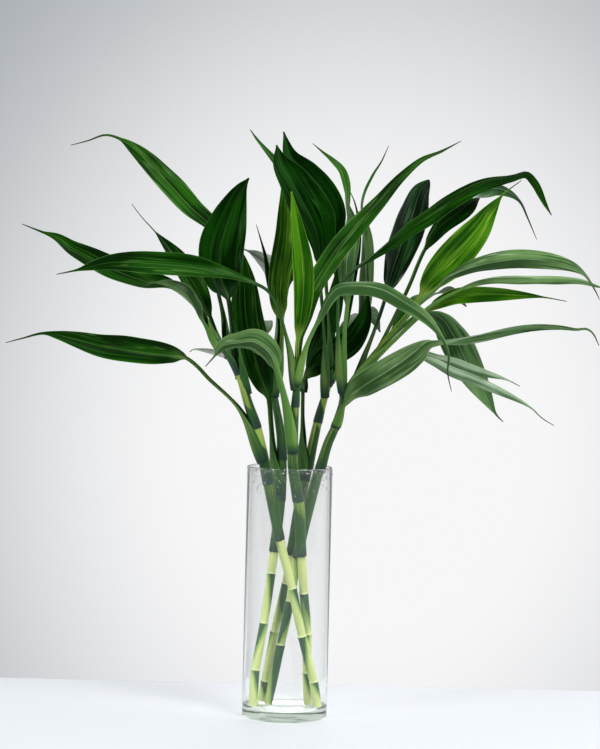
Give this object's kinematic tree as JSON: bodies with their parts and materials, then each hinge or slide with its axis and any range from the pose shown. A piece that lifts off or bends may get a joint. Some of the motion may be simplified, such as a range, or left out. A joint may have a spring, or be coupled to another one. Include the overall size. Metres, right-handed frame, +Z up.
{
  "type": "lucky bamboo",
  "caption": "Cut lucky bamboo standing in a clear glass cylinder vase: pale jointed canes inside the glass, and leafy shoots that spread wide above the rim.",
  "frame": {"origin": "centre of the vase's flat underside, on the surface it stands on", "axes": "+Z up along the vase's axis, +X to the right of the front view, the front faces -Y"},
  "size_m": [0.6889, 0.3609, 0.7068],
  "materials": {
    "vase_glass": "clear and smooth, with a few dried water spots",
    "cane": "smooth yellow-green cane skin, satin",
    "leaf": "waxy deep green leaf, satin"
  },
  "bodies": {
    "root": {"vase": "vase_glass", "cane_left": "cane", "shoot_left": "leaf", "cane_rear": "cane", "shoot_rear": "leaf", "cane_middle": "cane", "shoot_middle": "leaf", "cane_inner": "cane", "shoot_inner": "leaf", "cane_right": "cane", "shoot_right": "leaf"}
  },
  "joints": []
}
